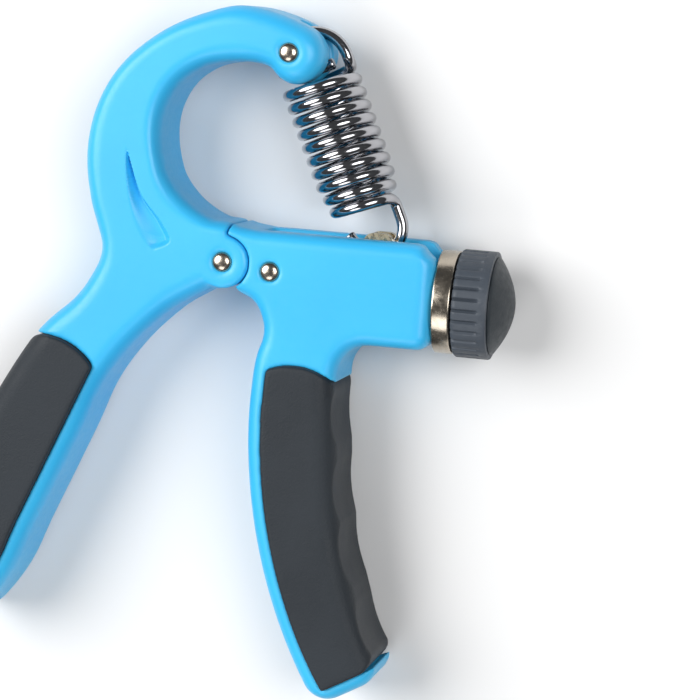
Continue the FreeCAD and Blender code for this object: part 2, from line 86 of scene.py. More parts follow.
def make_camera():
    back = Vector((math.tan(AZIMUTH), math.tan(ELEVATION), 1.0)).normalized()
    level = Vector((0, 1, 0)).cross(back).normalized()
    upright = back.cross(level)
    right = level * math.cos(ROLL) + upright * math.sin(ROLL)
    up = upright * math.cos(ROLL) - level * math.sin(ROLL)
    data = bpy.data.cameras.new("camera")
    data.sensor_width = SENSOR
    data.lens = SENSOR * FOCAL_PIXELS / IMAGE
    data.clip_start = CLIP_START
    camera = bpy.data.objects.new("camera", data)
    bpy.context.scene.collection.objects.link(camera)
    turn = Matrix((right, up, back)).transposed().to_4x4()
    camera.matrix_world = Matrix.Translation(CAMERA_AT) @ turn
    bpy.context.scene.camera = camera


# Materials: noise scales are per metre, bump distances in metres
BLUE, BLUE_DEEP = (0.040, 0.478, 0.83), (0.034, 0.44, 0.80)
RUBBER, RUBBER_DARK, RUBBER_LIGHT = (0.018, 0.023, 0.029), (0.015, 0.020, 0.026), (0.022, 0.028, 0.035)
KNOB_GREY, CAP_GREY = (0.052, 0.063, 0.079), (0.021, 0.028, 0.034)
NICKEL, CHROME = (0.50, 0.44, 0.36), (0.44, 0.44, 0.46)
ZINC, BRASS = (0.58, 0.50, 0.35), (0.80, 0.60, 0.28)

# The spans of a noise's value over which a look changes, and the factors by which it changes
CLOUDY, GRAINY, PATCHY = (0.35, 0.65), (0.3, 0.7), (0.3, 0.6)
LIGHTER, DARKER, SHINIER, DULLER = 1.14, 0.9, 0.75, 1.35


def principled(name, color, roughness, **sockets):
    material = bpy.data.materials.new(name)
    material.use_nodes = True
    shader = material.node_tree.nodes["Principled BSDF"]
    shader.inputs["Base Color"].default_value = (*color, 1)
    shader.inputs["Roughness"].default_value = roughness
    for socket, value in sockets.items():
        shader.inputs[socket.replace("_", " ")].default_value = value
    return material, material.node_tree, shader


def object_noise(tree, scale, detail=2.0, roughness=0.5):
    where = tree.nodes.new("ShaderNodeTexCoord")
    texture = tree.nodes.new("ShaderNodeTexNoise")
    texture.inputs["Scale"].default_value = scale
    texture.inputs["Detail"].default_value = detail
    texture.inputs["Roughness"].default_value = roughness
    tree.links.new(where.outputs["Object"], texture.inputs["Vector"])
    return texture.outputs["Fac"]


def vary_color(tree, shader, value, low, high, span):
    """Lets value, over its span, mix the base colour from low to high."""
    node = tree.nodes.new("ShaderNodeValToRGB")
    for element, position, color in zip(node.color_ramp.elements, span, (low, high)):
        element.position = position
        element.color = (*color, 1)
    tree.links.new(value, node.inputs["Fac"])
    tree.links.new(node.outputs["Color"], shader.inputs["Base Color"])


def vary_roughness(tree, shader, value, low, high, span):
    """Lets value, over its span, move the roughness from low to high."""
    node = tree.nodes.new("ShaderNodeMapRange")
    for socket, number in zip(("From Min", "From Max", "To Min", "To Max"), (*span, low, high)):
        node.inputs[socket].default_value = number
    tree.links.new(value, node.inputs["Value"])
    tree.links.new(node.outputs["Result"], shader.inputs["Roughness"])


def bump(tree, shader, value, distance, strength, under=None):
    node = tree.nodes.new("ShaderNodeBump")
    node.inputs["Strength"].default_value = strength
    node.inputs["Distance"].default_value = distance
    tree.links.new(value, node.inputs["Height"])
    if under is not None:
        tree.links.new(under, node.inputs["Normal"])
    tree.links.new(node.outputs["Normal"], shader.inputs["Normal"])
    return node.outputs["Normal"]


def blue_plastic():
    """Moulded plastic: a cloudy tone, faint flow marks and a fine satin grain."""
    material, tree, shader = principled("blue_plastic", BLUE, roughness=0.4, IOR=1.49, Coat_Weight=0.1,
                                        Coat_Roughness=0.24, Subsurface_Weight=0.12, Subsurface_Scale=0.003)
    shader.inputs["Subsurface Radius"].default_value = (0.4, 0.9, 1.0)
    vary_color(tree, shader, object_noise(tree, scale=28, detail=3.0), BLUE_DEEP, BLUE, CLOUDY)
    vary_roughness(tree, shader, object_noise(tree, scale=900), low=0.36, high=0.46, span=GRAINY)
    flow = bump(tree, shader, object_noise(tree, scale=70), distance=0.0006, strength=0.10)
    bump(tree, shader, object_noise(tree, scale=1500), distance=0.0001, strength=0.10, under=flow)
    return material


def grip_rubber():
    """Soft rubber: a fine dull grain with duller and shinier patches."""
    material, tree, shader = principled("grip_rubber", RUBBER, roughness=0.6, IOR=1.38, Sheen_Weight=0.05,
                                        Sheen_Roughness=0.4)
    cloud = object_noise(tree, scale=60, detail=4.0)
    vary_color(tree, shader, cloud, RUBBER_DARK, RUBBER_LIGHT, CLOUDY)
    vary_roughness(tree, shader, cloud, low=0.5, high=0.66, span=CLOUDY)
    bump(tree, shader, object_noise(tree, scale=2600), distance=0.00022, strength=0.5)
    return material


def knob_plastic(name, tone):
    """Hard matt plastic with a fine spark grain."""
    material, tree, shader = principled(name, tone, roughness=0.46, IOR=1.42)
    lighter = tuple(c * LIGHTER for c in tone)
    vary_color(tree, shader, object_noise(tree, scale=90, detail=3.0), tone, lighter, CLOUDY)
    vary_roughness(tree, shader, object_noise(tree, scale=700), low=0.4, high=0.54, span=GRAINY)
    bump(tree, shader, object_noise(tree, scale=2200), distance=0.00012, strength=0.35)
    return material


def plated(name, color, roughness):
    """Plated metal: a speckled gloss and slightly darker patches."""
    material, tree, shader = principled(name, color, roughness, Metallic=1.0)
    speckle = object_noise(tree, scale=900, detail=3.0, roughness=0.6)
    vary_roughness(tree, shader, speckle, roughness * SHINIER, roughness * DULLER, GRAINY)
    darker = tuple(c * DARKER for c in color)
    vary_color(tree, shader, object_noise(tree, scale=120, detail=3.0), darker, color, PATCHY)
    bump(tree, shader, speckle, distance=0.00005, strength=0.25)
    return material


MATERIALS = {
    "blue_plastic": blue_plastic(),
    "grip_rubber": grip_rubber(),
    "knob_grey": knob_plastic("knob_grey", KNOB_GREY),
    "cap_grey": knob_plastic("cap_grey", CAP_GREY),
    "nickel": plated("nickel", NICKEL, roughness=0.22),
    "spring_steel": plated("spring_steel", CHROME, roughness=0.11),
    "zinc": plated("zinc", ZINC, roughness=0.27),
    "brass": plated("brass", BRASS, roughness=0.3),
}


def dress(piece, slot, body=None, replaces=(), look=None):
    """Gives a piece its material, body and replaced nodes. look names a material other than the slot's."""
    piece.data.materials.clear()
    piece.data.materials.append(MATERIALS[look or slot])
    if body:
        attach(piece, body)
    if replaces:
        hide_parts(*replaces)
    return piece


# Mesh helpers
SMOOTH_ANGLE = math.radians(35)
SPLIT_ANGLE = math.radians(32)
WELD_REACH = 0.002 * MM
UNDER_HALF = 0.49


def new_piece(name, mesh, smooth_angle=SMOOTH_ANGLE):
    mesh.materials.clear()
    piece = bpy.data.objects.new(name, mesh)
    bpy.context.scene.collection.objects.link(piece)
    mesh.shade_smooth()
    mesh.set_sharp_from_angle(angle=smooth_angle)
    return piece


def ring_mesh(name, rings, closed=False):
    """Joins equal rings of points into one skin, with its ends capped unless it closes on itself."""
    size = len(rings[0])
    points = [p for ring in rings for p in ring]
    faces = []
    for i in range(len(rings) if closed else len(rings) - 1):
        a, b = i * size, (i + 1) % len(rings) * size
        for k in range(size):
            n = (k + 1) % size
            faces.append((a + k, b + k, b + n, a + n))
    if not closed:
        faces.append(tuple(range(size)))
        faces.append(tuple(reversed(range(len(points) - size, len(points)))))
    mesh = bpy.data.meshes.new(name)
    mesh.from_pydata(points, [], faces)
    bm = bmesh.new()
    bm.from_mesh(mesh)
    bmesh.ops.recalc_face_normals(bm, faces=bm.faces)
    bm.to_mesh(mesh)
    bm.free()
    return mesh


def lathe(name, profile, centre, axis, segments, shape=None):
    """Turns (along, radius) points, in millimetres, about axis from centre. shape adds to a radius."""
    axis = Vector(axis).normalized()
    across = axis.orthogonal().normalized()
    other = axis.cross(across)
    rings = []
    for along, radius in profile:
        ring = []
        for k in range(segments):
            angle = 2 * math.pi * k / segments
            r = radius + (shape(along, radius, angle) if shape else 0.0)
            way = across * math.cos(angle) + other * math.sin(angle)
            ring.append(centre + (axis * along + way * r) * MM)
        rings.append(ring)
    return new_piece(name, ring_mesh(name, rings))


def rounded(corners, radius, steps=5):
    """Profile corners, each rounded by a short arc of about radius, inside its half of each side."""
    out = [corners[0]]
    for a, b, c in zip(corners, corners[1:], corners[2:]):
        a, b, c = (Vector((*p, 0)) for p in (a, b, c))
        reach = min(radius, (a - b).length * UNDER_HALF, (c - b).length * UNDER_HALF)
        start, end = b + (a - b).normalized() * reach, b + (c - b).normalized() * reach
        for i in range(steps + 1):
            t = i / steps
            p = start.lerp(b, t).lerp(b.lerp(end, t), t)
            out.append((p.x, p.y))
    out.append(corners[-1])
    return out


def weld(piece):
    """Joins the points of a CAD mesh that lie together."""
    modifier = piece.modifiers.new("weld", "WELD")
    modifier.merge_threshold = WELD_REACH


def smooth_node(name, slot):
    """Dresses a CAD node that keeps its shape."""
    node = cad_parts[name]
    node.data.shade_smooth()
    node.data.materials.clear()
    node.data.materials.append(MATERIALS[slot])
    weld(node)
    split = node.modifiers.new("edges", "EDGE_SPLIT")
    split.split_angle = SPLIT_ANGLE
    normals = node.modifiers.new("normals", "WEIGHTED_NORMAL")
    normals.keep_sharp = True


def prism(points, low, high):
    """A closed upright mesh over a plane outline, all in millimetres from the pivot."""
    size = len(points)
    corners = [at(x, y, z) for z in (low, high) for x, y in points]
    faces = [tuple(reversed(range(size))), tuple(range(size, 2 * size))]
    faces += [(k, (k + 1) % size, (k + 1) % size + size, k + size) for k in range(size)]
    mesh = bpy.data.meshes.new("prism")
    mesh.from_pydata(corners, [], faces)
    return mesh


def washer(centre, inner, outer, low, high, sides=48):
    """A closed ring mesh about the point centre, in millimetres."""
    base = Vector((centre.x, centre.y, PIVOT.z))
    rings = []
    for k in range(sides):
        angle = 2 * math.pi * k / sides
        way = Vector((math.cos(angle), math.sin(angle), 0))
        corners = ((inner, low), (outer, low), (outer, high), (inner, high))
        rings.append([base + (way * r + Vector((0, 0, z))) * MM for r, z in corners])
    return ring_mesh("washer", rings, closed=True)


# Skins of the moulded pieces: voxel sizes in millimetres, and smoothing passes
LEFT_SKIN, RIGHT_SKIN, GRIP_SKIN = (0.5, 7), (0.42, 7), (0.45, 5)
SMOOTHING = 0.5

# Rings round the rivet heads: their radii, and how far they reach down from the face
SEAT_INNER, SEAT_OUTER, SEAT_DEPTH = 2.2, 2.8, 1.3


def rivet_seats(*centres):
    """Rings that close the recesses in to a thin line round each rivet head."""
    sides = ((FACE - SEAT_DEPTH, FACE), (-FACE, SEAT_DEPTH - FACE))
    return [washer(centre, SEAT_INNER, SEAT_OUTER, low, high) for centre in centres for low, high in sides]


def apply_modifiers(piece):
    depsgraph = bpy.context.evaluated_depsgraph_get()
    mesh = bpy.data.meshes.new_from_object(piece.evaluated_get(depsgraph))
    piece.modifiers.clear()
    piece.data = mesh


def cut_away(piece, mesh):
    """Takes a closed mesh out of the piece."""
    tool = bpy.data.objects.new("cutter", mesh)
    bpy.context.scene.collection.objects.link(tool)
    cut = piece.modifiers.new("cut", "BOOLEAN")
    cut.operation = "DIFFERENCE"
    cut.solver = "EXACT"
    cut.object = tool
    apply_modifiers(piece)
    bpy.data.objects.remove(tool)


def add_meshes(piece, meshes):
    joined = bmesh.new()
    joined.from_mesh(piece.data)
    for mesh in meshes:
        joined.from_mesh(mesh)
    joined.to_mesh(piece.data)
    joined.free()


def softened(name, node, skin, fillers=(), cutter=None):
    """A skin over a CAD node with its edges softened, as moulding leaves them."""
    voxel, passes = skin
    piece = bpy.data.objects.new(name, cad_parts[node].data.copy())
    bpy.context.scene.collection.objects.link(piece)
    weld(piece)
    if cutter:
        cut_away(piece, cutter)
    else:
        apply_modifiers(piece)
    if fillers:
        add_meshes(piece, fillers)
    remesh = piece.modifiers.new("remesh", "REMESH")
    remesh.mode = "VOXEL"
    remesh.voxel_size = voxel * MM
    soft = piece.modifiers.new("soft", "SMOOTH")
    soft.factor = SMOOTHING
    soft.iterations = passes
    apply_modifiers(piece)
    piece.data.shade_smooth()
    return piece


def plane_points(piece):
    """Vertices in millimetres from the pivot, as an array."""
    flat = np.empty(len(piece.data.vertices) * 3)
    piece.data.vertices.foreach_get("co", flat)
    return (flat.reshape(-1, 3) - np.array(PIVOT)) / MM


def move_points(piece, points):
    piece.data.vertices.foreach_set("co", (points * MM + np.array(PIVOT)).ravel())
    piece.data.update()


# The arm's two edges: the angle about ARM_CENTRE in degrees, the radius there, and the move outward that
# brings the edge to where the photograph shows it
ARM_CENTRE = (0.0, 24.0)
ARM_OUTER = ((91.7, 30.7, 0.0), (105.1, 30.9, -1.1), (116.7, 31.2, -1.6), (132.0, 31.7, -1.9),
             (147.1, 32.4, -1.8), (160.8, 33.1, -1.8), (173.3, 33.8, -1.9), (188.6, 34.6, -2.0),
             (200.4, 35.3, -2.0), (213.9, 35.9, -1.7))
ARM_INNER = ((70.6, 18.7, 0.7), (84.0, 18.5, 0.5), (96.1, 18.1, 0.6), (110.5, 17.4, 1.3),
             (119.9, 16.8, 1.7), (132.0, 16.0, 2.2), (146.3, 15.0, 2.5), (160.8, 14.0, 2.7),
             (175.2, 13.2, 2.8), (190.0, 12.4, 3.0))

# The neck's edges: place, and the move of each
NECK = ((-11.2, 18.0, -2.4, -1.0), (-8.9, 14.4, -1.4, -1.4), (-5.2, 11.7, -0.85, -1.7),
        (-2.5, 10.7, -0.3, -1.9), (-0.7, 10.2, 0.0, -1.5), (3.1, 8.85, 0.0, -1.0), (8.2, 7.35, 0.0, -0.1),
        (-29.9, 1.4, 2.2, 0.3), (-31.6, -7.0, 1.6, 0.3))

# Places that stay: round the pivot, on the right body, below the pivot on the left, round the arm's tip,
# further down on the left, and in the teardrop
STILL_PIVOT = ((0, 0), (6, 0), (0, 6), (-6, 0), (0, -6), (4.2, 4.2), (-4.2, 4.2), (4.2, -4.2), (-4.2, -4.2))
STILL_BODY = ((10.6, -1.2), (14, 7.3), (20, 7.3), (20, -14), (6, -12))
STILL_LEFT = ((-16, -16), (-24, -26), (-41, -19), (-36, -24))
STILL_TIP = ((8, 54), (16, 51), (20, 46), (18, 41), (12, 39), (11.4, 45.5), (7, 47))
STILL_LOW = ((-33, -43), (-50, -35))
STILL_DROP = ((-20, 12), (-19, 6), (-20, 20))
STILL = STILL_PIVOT + STILL_BODY + STILL_LEFT + STILL_TIP + STILL_LOW + STILL_DROP

# The moves fade out down to the grips and along the body
GRIP_Y, GRIP_FADE = -30.0, 12.0
BODY_X, BODY_FADE = 24.0, 8.0
TINY = 1e-9


def listed_moves():
    """Places and moves, one row each: x, y, and the move along each."""
    rows = []
    for angle, radius, move in ARM_OUTER + ARM_INNER:
        way = Vector((math.cos(math.radians(angle)), math.sin(math.radians(angle))))
        place = Vector(ARM_CENTRE) + way * radius
        rows.append((place.x, place.y, way.x * move, way.y * move))
    rows += list(NECK) + [(x, y, 0.0, 0.0) for x, y in STILL]
    return np.array(rows)


def plate_kernel(a, b):
    squared = ((a[:, None, :] - b[None, :, :]) ** 2).sum(axis=2)
    return 0.5 * squared * np.log(squared + TINY)


def photo_outline(points):
    """Moves points in the plane by a thin plate through the listed moves."""
    rows = listed_moves()
    known, moves = rows[:, :2], rows[:, 2:]
    count = len(known)
    system = np.zeros((count + 3, count + 3))
    system[:count, :count] = plate_kernel(known, known)
    system[:count, count:] = np.column_stack((np.ones(count), known))
    system[count:, :count] = system[:count, count:].T
    weights = np.linalg.solve(system, np.vstack((moves, np.zeros((3, 2)))))
    plan = points[:, :2]
    shift = plate_kernel(plan, known) @ weights[:count]
    shift += np.column_stack((np.ones(len(plan)), plan)) @ weights[count:]
    fade = np.clip((plan[:, 1] - GRIP_Y) / GRIP_FADE, 0, 1)
    fade *= np.clip((BODY_X - plan[:, 0]) / BODY_FADE, 0, 1)
    points[:, :2] += shift * fade[:, None]


# Teardrop recess: its soft outer edge and its crisp inner edge, each from the tip down
DROP_SOFT = [(-22.7, 22.8), (-22.5, 17.5), (-21.0, 10.2), (-18.7, 4.4), (-15.2, 0.9)]
DROP_CRISP = [(-22.7, 22.8), (-18.9, 13.2), (-14.2, 7.8), (-11.6, 3.4), (-15.2, 0.9)]
DROP_TOP, DROP_BOTTOM = DROP_SOFT[0][1], DROP_SOFT[-1][1]

# Its depth and how much of it is lost at the bottom, its full width, and the widths of its slopes
DROP_DEPTH, DROP_LOST, DROP_FULL = 2.3, 0.5, 1.2
CRISP_SLOPE, CRISP_SPREAD = 0.45, 1.6
SOFT_SHARE, SOFT_SLOPE = 0.8, 0.15

# The finer mesh: cuts of each edge, its margin round the outline and how far under the face it goes
DROP_CUTS, DROP_MARGIN, FACE_BAND = 3, 0.5, 0.4

# The fillers that close the CAD's plain pocket first
FILLER_DEPTH, FILLER_GROWTH = 2.5, 0.03


def curve_through(points, steps=12):
    """Points of a smooth line through the given ones, which stay on it."""
    ends = [2 * np.array(points[0]) - points[1]] + [np.array(p) for p in points]
    ends += [2 * np.array(points[-1]) - points[-2]]
    out = []
    for a, b, c, d in zip(ends, ends[1:], ends[2:], ends[3:]):
        for i in range(steps):
            t = i / steps
            out.append(0.5 * (2 * b + (c - a) * t + (2 * a - 5 * b + 4 * c - d) * t ** 2
                              + (3 * b - a - 3 * c + d) * t ** 3))
    out.append(np.array(points[-1], dtype=float))
    return np.array(out)


def drop_outline():
    return np.vstack((curve_through(DROP_SOFT), curve_through(DROP_CRISP)[::-1][1:-1]))


def far_from(line, plan):
    return np.sqrt(((plan[:, None, :] - line[None, :, :]) ** 2).sum(axis=2)).min(axis=1)


def eased(value):
    value = np.clip(value, 0, 1)
    return value * value * (3 - 2 * value)


def inside(outline, plan):
    """Which points of plan lie in the outline, by counting its crossings."""
    found = np.zeros(len(plan), dtype=bool)
    for (x0, y0), (x1, y1) in zip(outline, np.roll(outline, -1, axis=0)):
        if y0 == y1:
            continue
        crossing = (plan[:, 1] >= min(y0, y1)) & (plan[:, 1] < max(y0, y1))
        found ^= crossing & (plan[:, 0] < x0 + (x1 - x0) * (plan[:, 1] - y0) / (y1 - y0))
    return found


def refine_drops(piece, outline):
    """Cuts the faces in and round the teardrops finer."""
    mesh = bmesh.new()
    mesh.from_mesh(piece.data)
    centres = np.array([(f.calc_center_median() - PIVOT) / MM for f in mesh.faces])
    near = np.abs(centres[:, 2]) > FACE - FACE_BAND
    plan = centres[near, :2]
    near[near] = inside(outline, plan) | (far_from(outline, plan) < DROP_MARGIN)
    mesh.faces.ensure_lookup_table()
    edges = {edge for k in np.flatnonzero(near) for edge in mesh.faces[k].edges}
    bmesh.ops.subdivide_edges(mesh, edges=list(edges), cuts=DROP_CUTS, use_grid_fill=True)
    bmesh.ops.triangulate(mesh, faces=[f for f in mesh.faces if len(f.verts) > 4])
    mesh.to_mesh(piece.data)
    mesh.free()


def sink_drops(piece):
    """Sinks the dished teardrop in both faces."""
    outline = drop_outline()
    refine_drops(piece, outline)
    points = plane_points(piece)
    chosen = np.flatnonzero(np.abs(points[:, 2]) > FACE - FACE_BAND)
    chosen = chosen[inside(outline, points[chosen, :2])]
    plan = points[chosen, :2]
    to_soft, to_crisp = far_from(curve_through(DROP_SOFT), plan), far_from(curve_through(DROP_CRISP), plan)
    width = to_soft + to_crisp
    along = np.clip((DROP_TOP - plan[:, 1]) / (DROP_TOP - DROP_BOTTOM), 0, 1)
    sink = eased(to_crisp / (CRISP_SLOPE + CRISP_SPREAD * along ** 3))
    sink *= eased(to_soft / (SOFT_SHARE * width + SOFT_SLOPE))
    sink *= DROP_DEPTH * (1.0 - DROP_LOST * along) * eased(width / DROP_FULL)
    points[chosen, 2] -= np.sign(points[chosen, 2]) * sink
    move_points(piece, points)


def make_left_handle():
    outline = drop_outline()
    wider = [tuple(p + (p - outline.mean(axis=0)) * FILLER_GROWTH) for p in outline]
    fillers = [prism(wider, FACE - FILLER_DEPTH, FACE), prism(wider, -FACE, FILLER_DEPTH - FACE)]
    fillers += rivet_seats(PIVOT, LOOP_PIN)
    piece = softened("left_shell", "left_handle_frame", LEFT_SKIN, fillers)
    points = plane_points(piece)
    photo_outline(points)
    move_points(piece, points)
    sink_drops(piece)
    dress(piece, "blue_plastic", "left_handle", ("left_handle_frame",))


# Right handle: the body's end, the opening of the slot there, and the round corners of its walls
BODY_TOP, BODY_END = 7.3, 46.0
OPENING_X, OPENING_Y, OPENING_HALF = (BODY_END - 4.0, BODY_END + 1), (1.4, 12), 4.2
WALL_CORNER, SOFT_EDGE = 5.0, 1.6


def round_wall_corners(points):
    """Bends the square corners, which the softening has rounded a little, to the full radius."""
    corner_x, corner_y = BODY_END - WALL_CORNER, BODY_TOP - WALL_CORNER
    across, up = points[:, 0] - corner_x, points[:, 1] - corner_y
    corner = np.flatnonzero((across > 0) & (up > 0))
    across, up = across[corner], up[corner]
    apart = np.abs(across - up)
    blunt = SOFT_EDGE + (across + up - np.sqrt(2 * SOFT_EDGE ** 2 - np.minimum(apart, SOFT_EDGE) ** 2)) / 2
    level = np.where(apart < SOFT_EDGE, blunt, np.maximum(across, up))
    reach = np.hypot(across, up) + TINY
    points[corner, 0] = corner_x + across / reach * level
    points[corner, 1] = corner_y + up / reach * level


def make_right_handle():
    (x0, x1), (y0, y1) = OPENING_X, OPENING_Y
    opening = prism([(x0, y0), (x1, y0), (x1, y1), (x0, y1)], -OPENING_HALF, OPENING_HALF)
    piece = softened("right_shell", "right_handle_frame", RIGHT_SKIN, rivet_seats(BEARING_PIN), opening)
    points = plane_points(piece)
    photo_outline(points)
    round_wall_corners(points)
    move_points(piece, points)
    dress(piece, "blue_plastic", "right_handle", ("right_handle_frame",))


def make_grips():
    for side in ("left", "right"):
        node = side + "_grip_cover"
        dress(softened(side + "_grip", node, GRIP_SKIN), "grip_rubber", side + "_handle", (node,))


# Spring: the same wire as the CAD's, as a fine tube. From SPRING_AT, s runs down its axis and n across
TILT = math.radians(24.6)
SPRING_AT = at(28.64, 13.11)
SPRING_AXIS = Vector((math.sin(TILT), -math.cos(TILT), 0))
SPRING_ACROSS = Vector((math.cos(TILT), math.sin(TILT), 0))
WIRE_R, COIL_R, PITCH, TURNS = 1.25, 7.5, 2.98, 9
COIL_START, TAPER_TURNS, TAPER = -28.7, 2.0, 0.9

# How far the coil goes on at each end, in turns, its points in a turn, and the step that gives its way
COIL_LEAD, COIL_STEPS, TURN_STEP = 0.375, 56, 0.001
COIL_FIRST, COIL_LAST = -COIL_LEAD, TURNS + COIL_LEAD

# The upper loop, with the short strand that starts it
LOOP_CENTRE, LOOP_JOIN, LOOP_STEPS = -32.6, math.radians(19), 40
STRAND_GAP = 0.7
STRAND_S = COIL_START - 2 * WIRE_R - STRAND_GAP
STRAND_START, STRAND_LENGTH, STRAND_STEPS = 4.3, 6.9, 10
STRAND_END = STRAND_START - STRAND_LENGTH

# The lower hook: a shank, a bend and a tail
HOOK_R, HOOK_N, HOOK_S = 5.75, 0.7, 4.3
HOOK_SHANK, HOOK_BEND, HOOK_TAIL = 2.6, math.radians(162), 2.5
SHANK_STEPS, BEND_STEPS, TAIL_STEPS = 6, 40, 5

# The joins between them
JOIN_STEPS, STRAND_PULL, COIL_PULL = 14, 1.25, 1.2
WIRE_SIDES, WIRE_SMOOTH_ANGLE, CUT_END = 20, math.radians(50), 0.2


def on_spring(s, n, z=0.0):
    return SPRING_AT + (SPRING_AXIS * s + SPRING_ACROSS * n + Vector((0, 0, z))) * MM


def spring_way(s, n):
    return (on_spring(s, n) - SPRING_AT).normalized()


def on_coil(turn):
    drawn = min(max(turn - (TURNS - TAPER_TURNS), 0) / TAPER_TURNS, 1)
    radius = COIL_R - TAPER * drawn * drawn * (3 - 2 * drawn)
    angle = math.pi - 2 * math.pi * turn
    return on_spring(COIL_START + PITCH * turn, radius * math.cos(angle), radius * math.sin(angle))


def coil_way(turn):
    return (on_coil(turn + TURN_STEP) - on_coil(turn - TURN_STEP)).normalized()


def join(a, heading, b, way, pull):
    """A smooth stretch of wire from a, leaving along heading, to b, arriving along way."""
    reach = (b - a).length * pull
    out = []
    for i in range(JOIN_STEPS):
        t = i / JOIN_STEPS
        out.append(a * (2 * t ** 3 - 3 * t * t + 1) + heading * reach * (t ** 3 - 2 * t * t + t)
                   + b * (3 * t * t - 2 * t ** 3) + way * reach * (t ** 3 - t * t))
    return out


def on_loop(angle):
    return on_spring(LOOP_CENTRE - COIL_R * math.sin(angle), -COIL_R * math.cos(angle))


def loop_line():
    """The strand and the upper loop, as far as the coil."""
    line = [on_spring(STRAND_S, STRAND_START - STRAND_LENGTH * i / STRAND_STEPS) for i in range(STRAND_STEPS)]
    way_up = spring_way(-math.cos(LOOP_JOIN), math.sin(LOOP_JOIN))
    line += join(on_spring(STRAND_S, STRAND_END), spring_way(0, -1), on_loop(LOOP_JOIN), way_up, STRAND_PULL)
    line += [on_loop(LOOP_JOIN + (math.pi - LOOP_JOIN) * i / LOOP_STEPS) for i in range(LOOP_STEPS)]
    loop_end = on_spring(LOOP_CENTRE, COIL_R)
    return line + join(loop_end, spring_way(1, 0), on_coil(COIL_FIRST), coil_way(COIL_FIRST), COIL_PULL)


def hook_line():
    """The lower hook, from the coil to its free end."""
    top = HOOK_S - HOOK_SHANK
    down = on_spring(top, HOOK_N + HOOK_R)
    line = join(on_coil(COIL_LAST), coil_way(COIL_LAST), down, spring_way(1, 0), COIL_PULL)
    line += [on_spring(top + HOOK_SHANK * i / SHANK_STEPS, HOOK_N + HOOK_R) for i in range(SHANK_STEPS)]
    for i in range(BEND_STEPS + 1):
        angle = HOOK_BEND * i / BEND_STEPS
        line.append(on_spring(HOOK_S + HOOK_R * math.sin(angle), HOOK_N + HOOK_R * math.cos(angle)))
    way = spring_way(math.cos(HOOK_BEND), -math.sin(HOOK_BEND))
    return line + [line[-1] + way * HOOK_TAIL * MM * i / TAIL_STEPS for i in range(1, TAIL_STEPS + 1)]


def coil_line():
    count = int((COIL_LAST - COIL_FIRST) * COIL_STEPS)
    return [on_coil(COIL_FIRST + (COIL_LAST - COIL_FIRST) * i / count) for i in range(count)]


def tube(name, line, radius, sides):
    """A round wire along line, with its cut ends slightly chamfered."""
    last = len(line) - 1
    ways = [(line[min(i + 1, last)] - line[max(i - 1, 0)]).normalized() for i in range(len(line))]
    side = ways[0].orthogonal().normalized()
    rings = []
    for i, (point, way) in enumerate(zip(line, ways)):
        side = (side - way * side.dot(way)).normalized()
        other = way.cross(side)
        angles = (2 * math.pi * k / sides for k in range(sides))
        ring = [side * math.cos(a) + other * math.sin(a) for a in angles]
        if i in (0, last):
            inward = way if i == 0 else -way
            end = [point + w * radius * (1 - CUT_END) * MM for w in ring]
            edge = [point + inward * radius * CUT_END * MM + w * radius * MM for w in ring]
            rings += [end, edge] if i == 0 else [edge, end]
        else:
            rings.append([point + w * radius * MM for w in ring])
    return new_piece(name, ring_mesh(name, rings), WIRE_SMOOTH_ANGLE)


def make_spring():
    line = loop_line() + coil_line() + hook_line()
    spring = dress(tube("spring", line, WIRE_R, WIRE_SIDES), "spring_steel")
    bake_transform(spring)
    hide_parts("main_spring")


# Knob, along X: a ribbed cup with a smooth band, and a blunt cap that plugs it
KNOB = [Vector(v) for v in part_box("knob_body")]
CAP = [Vector(v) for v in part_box("knob_end_cap")]
KNOB_R = (KNOB[1].z - KNOB[0].z) / 2 / MM
CAP_R = (CAP[1].z - CAP[0].z) / 2 / MM
SKIN_SHORT = 0.7
KNOB_LENGTH = (KNOB[1].x - KNOB[0].x) / MM - SKIN_SHORT
CAP_LENGTH = (CAP[1].x - KNOB[1].x) / MM + SKIN_SHORT
DISC_R, KNOB_WALL, KNOB_FLOOR = 5.8, 2.2, 2.4
RIBS, RIB_POINTS, RIB_STEPS, BAND = 30, 12, 8, 2.1
RIB_START, RIB_MARGIN, RIB_RUNOUT = 0.5, 0.1, 0.35
GROOVE_DEPTH, GROOVE_TIGHTNESS, GROOVE_POWER, GROOVE_FADE, GROOVE_REACH = 0.62, 1.9, 0.8, 0.5, 0.9
PLUG_INSET, PLUG_DEPTH = 1.4, 1.1
CAP_STEPS, CAP_SEGMENTS, CAP_BLUNTNESS, CAP_TIP = 20, 120, 1.9, 0.02

# Edges of the knob and the cap: how far each point is from its end, and how far in from the full radius
KNOB_NEAR_EDGE = ((0.0, 0.55), (0.12, 0.25))
KNOB_FAR_EDGE = ((0.35, 0.0), (0.1, 0.12), (0.0, 0.4))
CAP_RIM = ((0.02, 0.1), (0.2, 0.0), (0.45, 0.12))


